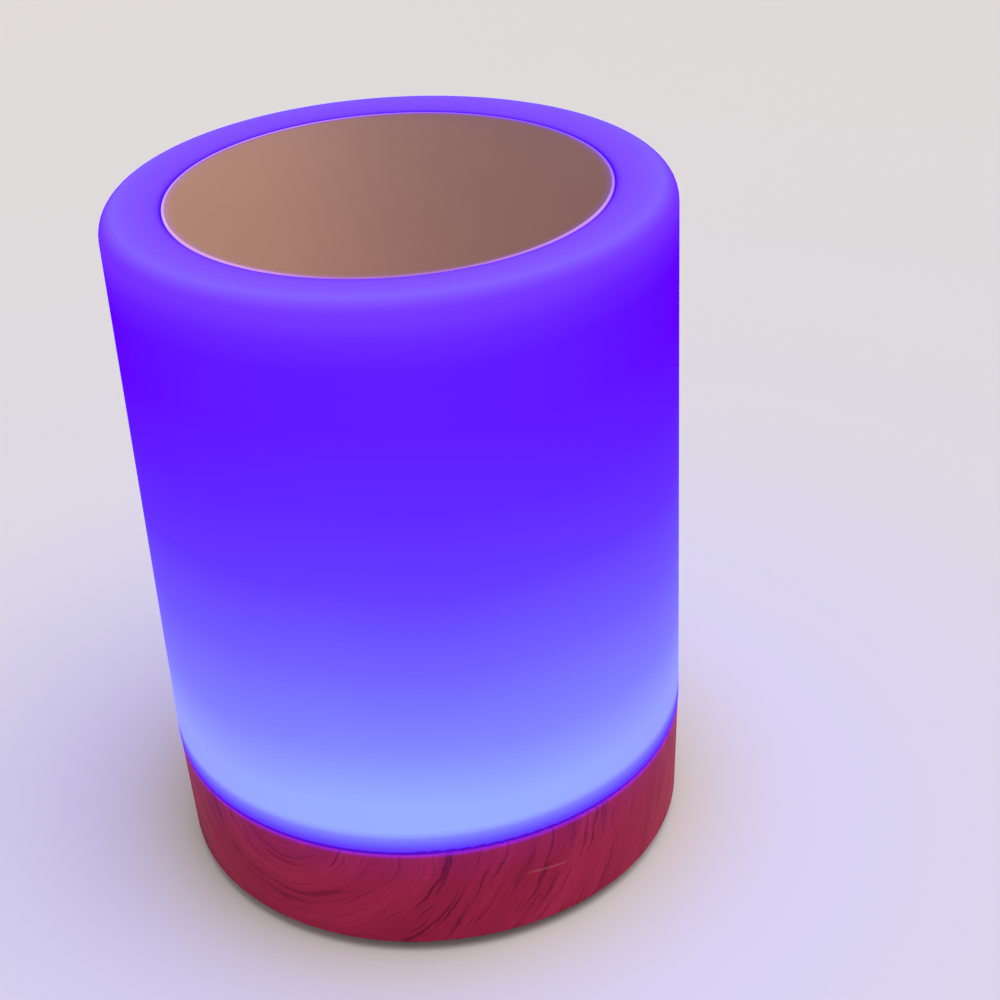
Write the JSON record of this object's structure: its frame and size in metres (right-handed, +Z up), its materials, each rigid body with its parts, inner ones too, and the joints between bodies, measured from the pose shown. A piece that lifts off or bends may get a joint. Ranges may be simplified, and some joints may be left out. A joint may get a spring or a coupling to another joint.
{
  "type": "touch-top bedside lamp",
  "caption": "Small round rechargeable night lamp: glowing milky cylinder with a metal touch disc in its top, on a wood-grain base with a charging socket and a slide switch.",
  "frame": {"origin": "centre of the base, on the plane that the feet stand on", "axes": "+Z up along the lamp's axis; +Y towards the back, where the charging socket is; -Y is the front; +X to the right seen from the front"},
  "size_m": [0.095, 0.095, 0.125],
  "materials": {
    "milky_diffuser": "milky satin, lit from inside",
    "satin_metal": "fine satin with a bright cut edge",
    "foam_tape": "foam",
    "clear_plastic": "clear",
    "brass": "drawn",
    "spring_steel": "drawn wire",
    "white_board": "white solder mask",
    "rgb_package": "moulded emitter",
    "white_package": "phosphor gel",
    "zinc_screw": "zinc plated",
    "white_plastic": "white moulded",
    "wood_grain": "satin wood grain",
    "dark_plastic": "fine moulded texture",
    "black_screw": "black oxide",
    "rubber": "matte",
    "green_board": "green solder mask",
    "chip_black": "moulded",
    "ceramic_part": "sintered",
    "ferrite": "sintered",
    "capacitor_can": "drawn",
    "nickel_shell": "nickel plated",
    "knob_plastic": "satin moulded",
    "cell_pouch": "laminate pouch",
    "wire_red": "insulation",
    "wire_black": "insulation",
    "wire_white": "insulation",
    "solder": "reflowed"
  },
  "bodies": {
    "lamp": {"diffuser": "milky_diffuser", "touch_plate": "satin_metal", "plate_gasket": "foam_tape", "touch_column": "clear_plastic", "contact_rod": "brass", "touch_spring": "spring_steel", "led_board": "white_board", "rgb_leds": "rgb_package", "white_leds": "white_package", "led_board_screws": "zinc_screw", "reflector_ring": "white_plastic", "base_sleeve": "wood_grain", "base_chassis": "dark_plastic", "bottom_cover": "dark_plastic", "cover_screws": "black_screw", "rubber_feet": "rubber", "control_board": "green_board", "control_board_screws": "zinc_screw", "control_chips": "chip_black", "small_parts": "ceramic_part", "power_inductor": "ferrite", "filter_capacitors": "capacitor_can", "charge_socket": "nickel_shell", "socket_tongue": "chip_black", "switch_body": "nickel_shell", "indicator_pipe": "clear_plastic", "indicator_led": "white_package", "battery_cell": "cell_pouch", "battery_pad": "foam_tape", "protection_board": "green_board", "battery_plug": "white_plastic", "battery_lead_red": "wire_red", "battery_lead_black": "wire_black", "light_plug": "white_plastic", "light_leads": "wire_white", "touch_lead": "wire_white", "touch_solder": "solder"},
    "power_knob": {"switch_knob": "knob_plastic"}
  },
  "joints": [
    {"name": "power_slide", "type": "slide", "parent": "lamp", "child": "power_knob", "axis": [0.9397, -0.342, 0], "range_m": [0, 0.003]}
  ]
}
